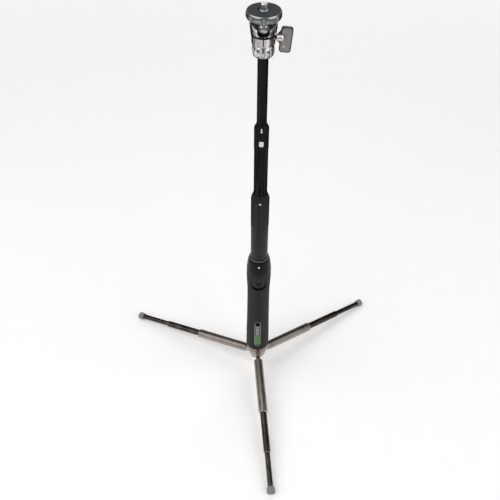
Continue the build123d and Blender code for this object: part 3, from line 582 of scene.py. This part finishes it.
def panel(low: float, high: float, half_width: float, corner: float) -> SurfacePoint:
    """A rectangle with rounded corners, between two heights.

    Args:
        low: Its lower edge, in metres.
        high: Its upper edge.
        half_width: Half its width.
        corner: The corners' radius.

    Returns:
        The rectangle as a function of u and v.
    """
    def point(u: float, v: float) -> tuple[float, float]:
        """Place u and v in the panel."""
        eased = 0.5 - 0.5 * math.cos(math.pi * v)
        z = low + (high - low) * eased
        inside = min(z - low, high - z, corner)
        width = half_width - corner + math.sqrt(max(corner**2 - (corner - inside) ** 2, 0.0))
        return width * (2 * u - 1), z
    return point


@dataclass(frozen=True)
class Band:
    """Sizes of a smile-shaped band, in metres."""

    half_width: float
    rise: float
    sag: float
    thick: float
    flat: float
    proud: float


def crescent(band: Band, base: float) -> SurfacePoint:
    """A smile-shaped band: its lower edge rises by sag at the ends, where the band runs out to flat.

    Args:
        band: The band's sizes.
        base: The height that its rise starts from.

    Returns:
        The band as a function of u and v.
    """
    def point(u: float, v: float) -> tuple[float, float]:
        """Place u and v in the band."""
        across = 2 * u - 1
        height = band.flat + (band.thick - band.flat) * math.sqrt(max(1 - across**2, 0.0))
        return band.half_width * across, base + band.rise + band.sag * across**2 + height * v
    return point


# ---- Sub-assemblies ----
@dataclass
class CarriedParts:
    """The CAD nodes that show as they are, each in its own finish."""

    leg_names: tuple[str, ...] = ("front", "right", "left")
    eased_edges: dict[str, float] = field(default_factory=lambda: {"lock_key": 0.7 * MM})
    weld_distance: float = 0.002 * MM
    eased_from: float = math.radians(50)

    def dress(self) -> None:
        """Give every CAD node its finish."""
        finishes = dict(NODE_FINISHES)
        for leg in self.leg_names:
            finishes.update({f"{leg}_{part}": finish for part, finish in LEG_NODE_FINISHES.items()})
        for name, node in frame["nodes"].items():
            node.data.materials.clear()
            node.data.materials.append(finishes[name].build())
            log.info("node %s in %s", name, finishes[name].name)
        for name, width in self.eased_edges.items():
            self.ease_edges(frame["nodes"][name], width)

    def ease_edges(self, node: bpy.types.Object, width: float) -> None:
        """Round a node's sharp edges with modifiers.

        Args:
            node: The CAD node's object.
            width: How wide the rounding is, in metres.
        """
        weld = node.modifiers.new("weld", "WELD")
        weld.merge_threshold = self.weld_distance
        bevel = node.modifiers.new("eased_edges", "BEVEL")
        bevel.width = width
        bevel.segments = 3
        bevel.limit_method = "ANGLE"
        bevel.angle_limit = self.eased_from
        bevel.harden_normals = True


@dataclass
class CameraScrew:
    """The threaded screw that stands out of the platform."""

    outer_radius: float = 3.175 * MM
    thread_pitch: float = 1.27 * MM
    thread_depth: float = 0.14 * MM
    groove_half_width: float = 0.4
    tip_chamfer: float = 0.7 * MM
    tip_slope: float = 0.8
    root_depth: float = 2.5 * MM
    steps: int = 56
    rows: int = 72
    flange: tuple[tuple[float, float], ...] = (
        (3.0 * MM, -1.4 * MM), (3.7 * MM, -1.4 * MM), (3.7 * MM, -0.2 * MM), (3.5 * MM, 0.1 * MM),
        (3.0 * MM, 0.2 * MM),
    )

    def radius_at(self, along: float, turn: float, length: float) -> float:
        """Radius of the thread at a place along it.

        Args:
            along: Distance up from the pad, in metres.
            turn: Share of a full turn.
            length: How far the screw stands out.

        Returns:
            The radius in metres.
        """
        phase = (along / self.thread_pitch - turn) % 1.0
        groove = max(0.0, 1 - abs(phase - 0.5) / self.groove_half_width)
        tip = max(0.0, along - (length - self.tip_chamfer))
        return self.outer_radius - self.thread_depth * groove - self.tip_slope * tip

    def thread(self, pad_top: float, top: float) -> bpy.types.Object:
        """Make the screw's threaded length.

        Args:
            pad_top: Height of the pad's upper face, in metres.
            top: Height of the screw's tip.

        Returns:
            The screw as a closed solid, rooted below the pad.
        """
        length = top - pad_top
        verts: list[Vector] = []
        for row in range(self.rows + 1):
            along = -self.root_depth + (length + self.root_depth) * row / self.rows
            for step in range(self.steps):
                turn = step / self.steps
                r = self.radius_at(along, turn, length)
                angle = math.tau * turn
                verts.append(Vector((r * math.cos(angle), r * math.sin(angle), pad_top + along)))
        verts += [Vector((0, 0, pad_top - self.root_depth)), Vector((0, 0, top))]
        root, tip, last = len(verts) - 2, len(verts) - 1, self.rows * self.steps
        faces: list[tuple[int, ...]] = []
        for row in range(self.rows):
            for step in range(self.steps):
                a, b = row * self.steps + step, row * self.steps + (step + 1) % self.steps
                faces.append((a, b, b + self.steps, a + self.steps))
        for step in range(self.steps):
            after = (step + 1) % self.steps
            faces += [(after, step, root), (last + step, last + after, tip)]
        return make_object("camera_screw_thread", verts, faces, SCREW_STEEL)

    def build(self) -> None:
        """Make the threaded screw, which stands for the plain CAD one, and the flange at its foot."""
        pad_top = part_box("platform_pad")[1].z
        thread = self.thread(pad_top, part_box("camera_screw")[1].z)
        place_piece(thread, "ball")
        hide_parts("camera_screw")
        outline = [(radius, pad_top + along) for radius, along in self.flange]
        flange = revolve("camera_screw_flange", outline, Matrix.Identity(4), SCREW_STEEL)
        place_piece(flange, "ball")


@dataclass(frozen=True)
class Skin:
    """One inlay, print, seam line or painted shadow laid on the grip."""

    name: str
    point: SurfacePoint
    finish: Finish
    proud: float
    slot: Slot = Slot.BADGE


@dataclass
class GripMarks:
    """The badge, the thumb rest's chevron and painted ledge shadow, and the seam on the front of the grip.
    """

    badge_inset: float = 0.6 * MM
    border_proud: float = 0.06 * MM
    field_proud: float = 0.12 * MM
    print_proud: float = 0.18 * MM
    green_span: tuple[float, float] = (3.4 * MM, 20.4 * MM)
    green_half_width: float = 3.0 * MM
    green_corner: float = 1.2 * MM
    round_end_drops: tuple[float, float] = (7.2 * MM, 1.0 * MM)
    round_end_half_width: float = 3.1 * MM
    bar_count: int = 4
    bar_start: float = 22.2 * MM
    bar_pitch: float = 4.2 * MM
    bar_height: float = 2.3 * MM
    bar_half_widths: tuple[float, float] = (2.1 * MM, 1.75 * MM)
    bar_corner: float = 0.8 * MM
    rest_drop: float = 24.2 * MM
    # Sizes of the painted shadow band under the thumb rest's ledge.
    ledge: Band = Band(7.6 * MM, 0.3 * MM, 3.6 * MM, 4.0 * MM, 0.8 * MM, 0.25 * MM)
    chevron: Band = Band(3.3 * MM, 9.8 * MM, 4.4 * MM, 2.4 * MM, 1.4 * MM, 0.2 * MM)
    seam_gaps: tuple[float, float] = (2.5 * MM, 1.5 * MM)
    seam_half_width: float = 0.16 * MM
    seam_corner: float = 0.1 * MM
    seam_proud: float = 0.03 * MM

    def badge_skins(self) -> list[Skin]:
        """List the badge's layers from the bottom one up."""
        low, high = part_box("grip_badge")
        half, base, top, inset = (high.x - low.x) / 2, low.z, high.z, self.badge_inset
        green = panel(base + self.green_span[0], base + self.green_span[1], self.green_half_width,
                      self.green_corner)
        round_end = stadium(top - self.round_end_drops[0], top - self.round_end_drops[1],
                            self.round_end_half_width)
        skins = [
            Skin("badge_border", stadium(base, top, half), BADGE_BORDER, self.border_proud),
            Skin("badge_field", stadium(base + inset, top - inset, half - inset), BADGE_FIELD,
                 self.field_proud),
            Skin("badge_green_panel", green, BADGE_GREEN, self.print_proud),
            Skin("badge_round_end", round_end, BLACK_MARKS_AND_PAINTED_SHADE, self.print_proud),
        ]
        for row in range(self.bar_count):
            start = base + self.bar_start + row * self.bar_pitch
            bar = panel(start, start + self.bar_height, self.bar_half_widths[row % 2], self.bar_corner)
            skins.append(Skin(f"badge_bar_{row + 1}", bar, BADGE_PRINT, self.print_proud))
        return skins

    def rest_skins(self) -> list[Skin]:
        """List the painted shadow under the thumb rest's ledge, the rest's chevron mark and the seam
        between them and the badge.
        """
        rest_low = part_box("grip_sleeve")[1].z - self.rest_drop
        seam = panel(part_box("grip_badge")[1].z + self.seam_gaps[0], rest_low - self.seam_gaps[1],
                     self.seam_half_width, self.seam_corner)
        return [
            # Painted shadow: this dark band stands in for the shade on the recess's lower wall.
            Skin("thumb_rest_ledge_shadow", crescent(self.ledge, rest_low), BLACK_MARKS_AND_PAINTED_SHADE, self.ledge.proud,
                 Slot.GRIP),
            Skin("thumb_rest_chevron", crescent(self.chevron, rest_low), BLACK_MARKS_AND_PAINTED_SHADE, self.chevron.proud,
                 Slot.GRIP),
            Skin("grip_seam", seam, BLACK_MARKS_AND_PAINTED_SHADE, self.seam_proud, Slot.GRIP),
        ]

    def build(self) -> None:
        """Lay every mark and the painted ledge shadow on the grip's own surface."""
        surface = surface_of(["grip_sleeve", "grip_badge", "grip_collar"])
        for skin in self.badge_skins() + self.rest_skins():
            laid = front_skin(skin.name, surface, skin.point, skin.finish, skin.proud)
            place_piece(laid, "grip")


@dataclass
class CollarMarks:
    """The arrow above the lock button."""

    arrow_low: float = 6.4 * MM
    arrow_length: float = 4.4 * MM
    head_share: float = 0.45
    head_half_width: float = 1.45 * MM
    shaft_half_width: float = 0.55 * MM
    proud: float = 0.05 * MM

    def arrow(self, top: float) -> SurfacePoint:
        """Outline of a down arrow.

        Args:
            top: Height of the collar's upper end, in metres.

        Returns:
            The arrow as a function of u and v.
        """
        low = top - self.arrow_low

        def point(u: float, v: float) -> tuple[float, float]:
            """Place u and v in the arrow."""
            in_head = v < self.head_share
            width = self.head_half_width * v / self.head_share if in_head else self.shaft_half_width
            return width * (2 * u - 1), low + self.arrow_length * v
        return point

    def build(self) -> None:
        """Print the arrow on the middle collar."""
        outline = self.arrow(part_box("middle_collar")[1].z)
        surface = surface_of(["middle_collar"])
        arrow = front_skin("lock_arrow", surface, outline, MARK_WHITE, self.proud, columns=4, rows=20)
        place_piece(arrow, "middle_section")


@dataclass
class HousingSeamShadow:
    """A near-black ring in the groove round the ball housing: painted shadow standing in for the shade in
    the seam.
    """

    above_base: float = 8.7 * MM
    base_radius: float = 10.0 * MM
    lean: float = 1.85 / 19.1
    half_width: float = 0.5 * MM
    depth: float = 1.0 * MM
    sunk: float = 0.12 * MM

    def build(self) -> None:
        """Turn the dark ring of painted shadow round the column axis."""
        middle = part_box("ball_housing")[0].z + self.above_base
        side = self.base_radius + self.lean * self.above_base
        inner, outer = side - self.depth, side - self.sunk
        low, high = middle - self.half_width, middle + self.half_width
        line = revolve("housing_seam_shadow", [(inner, low), (outer, low), (outer, high), (inner, high)],
                       Matrix.Identity(4), BLACK_MARKS_AND_PAINTED_SHADE, steps=96)
        place_piece(line, "head")


@dataclass
class KeyDetails:
    """The bright nickel face, pointed boss and struck stud of the lock key, whose body round the face is
    painted dark as shade.
    """

    wing_offset: float = 19.0 * MM
    wing_drop: float = 1.8 * MM
    wing_lean: float = math.radians(5.0)
    face_half_width: float = 4.1 * MM
    face_half_height: float = 10.2 * MM
    face_corner: float = 1.9 * MM
    face_proud: float = 0.12 * MM
    boss_profile: tuple[tuple[float, float], ...] = (
        (0.0, 11.2 * MM), (3.0 * MM, 11.2 * MM), (3.2 * MM, 11.6 * MM), (3.2 * MM, 15.0 * MM),
        (2.7 * MM, 16.4 * MM), (1.8 * MM, 18.3 * MM), (0.7 * MM, 19.6 * MM), (0.0, 19.7 * MM),
    )
    stud_radius: float = 0.9 * MM
    stud_inset: float = 1.6 * MM
    stud_drop: float = 7.6 * MM
    stud_ray_start: float = -0.03
    stud_profile: tuple[tuple[float, float], ...] = (
        (0.0, -0.3 * MM), (1.0, -0.3 * MM), (1.0, 0.2 * MM), (0.6, 0.45 * MM), (0.0, 0.52 * MM),
    )

    def wing_point(self, centre_z: float) -> SurfacePoint:
        """Outline of the wing's face, leaning with the wing.

        Args:
            centre_z: Height of the key's axis.

        Returns:
            The face as a function of u and v.
        """
        flat = panel(-self.face_half_height, self.face_half_height, self.face_half_width, self.face_corner)

        def point(u: float, v: float) -> tuple[float, float]:
            """Place u and v on the face."""
            x, z = flat(u, v)
            across = x * math.cos(self.wing_lean) + z * math.sin(self.wing_lean)
            along = z * math.cos(self.wing_lean) - x * math.sin(self.wing_lean)
            return self.wing_offset + across, centre_z - self.wing_drop + along
        return point

    def build(self) -> None:
        """Make the face, the boss and the stud."""
        joints = {joint["name"]: joint for joint in frame["joints"]}
        key_z = joints["key_turn"]["pos_m"][2]
        surface = surface_of(["lock_key"])
        face = front_skin("key_wing_face", surface, self.wing_point(key_z), KEY_NICKEL, self.face_proud)
        place_piece(face, "key")
        quarter = math.radians(90)
        along_x = Matrix.Translation(Vector((0, 0, key_z))) @ Matrix.Rotation(quarter, 4, "Y")
        boss = revolve("key_boss", list(self.boss_profile), along_x, BOSS_STEEL, steps=48)
        place_piece(boss, "key")
        stud_x, stud_z = self.wing_offset - self.stud_inset, key_z - self.stud_drop
        hit = surface.ray_cast(Vector((stud_x, self.stud_ray_start, stud_z)), Vector((0, 1, 0)))[0]
        to_front = Matrix.Translation(Vector((stud_x, hit.y, stud_z))) @ Matrix.Rotation(quarter, 4, "X")
        outline = [(share * self.stud_radius, along) for share, along in self.stud_profile]
        stud = revolve("key_wing_stud", outline, to_front, BALL_STEEL, steps=32)
        place_piece(stud, "key")


@dataclass
class LegTrim:
    """The rolled lips at the tube mouths of one leg."""

    name: str
    lips: tuple[tuple[str, float, float, float], ...] = (
        ("", 78.8 * MM, 4.2 * MM, 5.0 * MM),
        ("_middle", 129.2 * MM, 3.3 * MM, 3.75 * MM),
    )
    lip_length: float = 0.8 * MM
    lip_setback: float = 0.05 * MM
    lip_crown: float = 0.25 * MM

    def axis(self) -> Matrix:
        """The leg's own axis at rest, from its fold and slide joints.

        Returns:
            A matrix with its origin at the hinge pin and its Z along the leg.
        """
        joints = {joint["name"]: joint for joint in frame["joints"]}
        origin = Vector(joints[f"{self.name}_leg_fold"]["pos_m"])
        along = -Vector(joints[f"{self.name}_leg_middle_slide"]["axis"])
        return Matrix.Translation(origin) @ along.to_track_quat("Z", "Y").to_matrix().to_4x4()

    def build(self) -> None:
        """Make both lips."""
        axis = self.axis()
        for suffix, end, inner, outer in self.lips:
            start, rim, crown = end - self.lip_length, end - self.lip_setback, end + self.lip_crown
            outline = [(inner, start), (outer, start), (outer, rim), ((inner + outer) / 2, crown),
                       (inner, rim)]
            lip = revolve(f"{self.name}_leg{suffix}_lip", outline, axis, BALL_STEEL, steps=48)
            place_piece(lip, f"{self.name}_leg{suffix}")


@dataclass
class Studio:
    """Pale floor, soft lights, reflector cards and the camera."""

    camera_place: tuple[float, float, float] = (0.0, -0.5117, 0.7192)
    pitch: float = 0.780
    yaw: float = -0.02
    roll: float = 0.006
    lens: float = 46.63
    sensor_width: float = 36.0
    clip_start: float = 0.01
    floor_half: float = 2.2
    fade_start: float = 0.5
    fade_end: float = 1.9
    room_colour: tuple[float, float, float, float] = (0.2, 0.19, 0.185, 1.0)
    backdrop_colour: tuple[float, float, float, float] = (1.0, 1.0, 1.0, 1.0)
    lights: tuple[tuple[str, tuple[float, float, float], float, float], ...] = (
        ("key_light", (-0.9, -0.5, 1.6), 2.2, 27.0),
        ("fill_light", (1.2, -0.6, 1.2), 1.6, 12.0),
        ("back_light", (0.2, 1.4, 1.3), 1.6, 8.0),
    )
    light_target: tuple[float, float, float] = (0.0, 0.0, 0.2)
    seed: int = 11
    card_height: float = 0.2
    card_rings: tuple[tuple[float, float, int, float], ...] = (
        (0.06, 0.15, 9, 0.5), (0.15, 0.19, 11, 0.6), (0.19, 0.23, 9, 0.55), (0.23, 0.265, 11, 0.65),
        (0.265, 0.3, 9, 0.55), (0.3, 0.36, 11, 0.65), (0.36, 0.52, 9, 0.6), (0.52, 1.1, 9, 0.5),
    )
    card_shift: float = 0.3
    card_least_width: float = 0.5
    card_width_spread: float = 0.7
    felt_share: float = 0.6
    dark_sector: float = math.radians(108.0)
    dark_reach: tuple[float, float] = (0.06, 1.6)
    dark_slices: int = 12

    def camera(self) -> None:
        """Set the camera above the front, looking down at the pod."""
        level = math.cos(self.pitch)
        forward = Vector((math.sin(self.yaw) * level, math.cos(self.yaw) * level, -math.sin(self.pitch)))
        right = Vector((math.cos(self.yaw), -math.sin(self.yaw), 0.0))
        up = right.cross(forward)
        rolled_right = math.cos(self.roll) * right + math.sin(self.roll) * up
        rolled_up = -math.sin(self.roll) * right + math.cos(self.roll) * up
        data = bpy.data.cameras.new("camera")
        data.lens = self.lens
        data.sensor_width = self.sensor_width
        data.clip_start = self.clip_start
        camera = bpy.data.objects.new("camera", data)
        turn = Matrix((rolled_right, rolled_up, -forward)).transposed()
        camera.matrix_world = Matrix.Translation(self.camera_place) @ turn.to_4x4()
        bpy.context.scene.collection.objects.link(camera)
        bpy.context.scene.camera = camera

    def floor(self) -> None:
        """Lay the pale floor, which fades out with distance."""
        half = self.floor_half
        corners = [Vector((x * half, y * half, 0.0)) for x, y in ((-1, -1), (1, -1), (1, 1), (-1, 1))]
        floor = make_object("floor", corners, [(0, 1, 2, 3)], FLOOR_PAPER)
        nodes, links = floor.data.materials[0].node_tree.nodes, floor.data.materials[0].node_tree.links
        place = nodes.new("ShaderNodeTexCoord")
        distance = nodes.new("ShaderNodeVectorMath")
        distance.operation = "LENGTH"
        fade = nodes.new("ShaderNodeMapRange")
        fade.interpolation_type = "SMOOTHSTEP"
        fade.inputs["From Min"].default_value = self.fade_start
        fade.inputs["From Max"].default_value = self.fade_end
        fade.inputs["To Min"].default_value = 1.0
        fade.inputs["To Max"].default_value = 0.0
        links.new(place.outputs["Object"], distance.inputs[0])
        links.new(distance.outputs["Value"], fade.inputs["Value"])
        links.new(fade.outputs["Result"], nodes["Principled BSDF"].inputs["Alpha"])

    def card_corners(self, inner: float, outer: float, start: float, end: float) -> list[Vector]:
        """Corners of one flat card.

        Args:
            inner: Its nearer radius, in metres.
            outer: Its farther radius.
            start: Its first bearing from the front, in radians.
            end: Its last bearing.

        Returns:
            Four corners, in order.
        """
        return [Vector((radius * math.sin(bearing), -radius * math.cos(bearing), self.card_height))
                for radius, bearing in ((inner, start), (outer, start), (outer, end), (inner, end))]

    def reflector_cards(self) -> None:
        """Lay uneven dark and warm cards that only reflections see, with a dark sector behind the pod."""
        chance = random.Random(self.seed)
        sheets: dict[str, tuple[Finish, list[Vector]]] = {
            "reflector_felt": (CARD_FELT, []),
            "reflector_card": (CARD_BROWN, []),
        }
        for inner, outer, count, share in self.card_rings:
            step = 2 * self.dark_sector / count
            for index in range(count):
                if chance.random() < share:
                    start = -self.dark_sector + step * (index + self.card_shift * chance.random())
                    width = step * (self.card_least_width + self.card_width_spread * chance.random())
                    sheet = "reflector_felt" if chance.random() < self.felt_share else "reflector_card"
                    sheets[sheet][1].extend(self.card_corners(inner, outer, start, start + width))
        slice_width = (math.tau - 2 * self.dark_sector) / self.dark_slices
        for index in range(self.dark_slices):
            start = self.dark_sector + slice_width * index
            corners = self.card_corners(*self.dark_reach, start, start + slice_width)
            sheets["reflector_felt"][1].extend(corners)
        for name, (finish, corners) in sheets.items():
            faces = [(i, i + 1, i + 2, i + 3) for i in range(0, len(corners), 4)]
            sheet_object = make_object(name, corners, faces, finish)
            sheet_object.visible_camera = False
            sheet_object.visible_shadow = False
            sheet_object.visible_diffuse = False

    def area_light(self, name: str, place: tuple[float, float, float], size: float, power: float) -> None:
        """Hang one soft square light that points at the pod.

        Args:
            name: The light's name.
            place: Where it hangs, in metres.
            size: Its side, in metres.
            power: Its power, in watts.
        """
        data = bpy.data.lights.new(name, "AREA")
        data.shape = "SQUARE"
        data.size = size
        data.energy = power
        light = bpy.data.objects.new(name, data)
        light.location = place
        toward = Vector(self.light_target) - Vector(place)
        light.rotation_euler = toward.to_track_quat("-Z", "Y").to_euler()
        bpy.context.scene.collection.objects.link(light)

    def world(self) -> None:
        """Fill the room with dim light behind a white backdrop that only the camera sees."""
        world = bpy.data.worlds.new("studio")
        world.use_nodes = True
        nodes, links = world.node_tree.nodes, world.node_tree.links
        path = nodes.new("ShaderNodeLightPath")
        mix = nodes.new("ShaderNodeMix")
        mix.data_type = "RGBA"
        mix.inputs["A"].default_value = self.room_colour
        mix.inputs["B"].default_value = self.backdrop_colour
        links.new(path.outputs["Is Camera Ray"], mix.inputs["Factor"])
        links.new(mix.outputs["Result"], nodes["Background"].inputs["Color"])
        bpy.context.scene.world = world

    def build(self) -> None:
        """Set up the whole studio."""
        self.camera()
        self.floor()
        self.world()
        for name, place, size, power in self.lights:
            self.area_light(name, place, size, power)
        self.reflector_cards()
        bpy.context.scene.view_settings.view_transform = "Standard"
        log.info("studio ready")


def main() -> None:
    """Build every class in order."""
    logging.basicConfig(level=logging.INFO)
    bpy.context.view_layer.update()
    CarriedParts().dress()
    CameraScrew().build()
    HousingSeamShadow().build()
    KeyDetails().build()
    CollarMarks().build()
    GripMarks().build()
    for leg in CarriedParts.leg_names:
        LegTrim(leg).build()
    Studio().build()


if __name__ == "__main__":
    main()
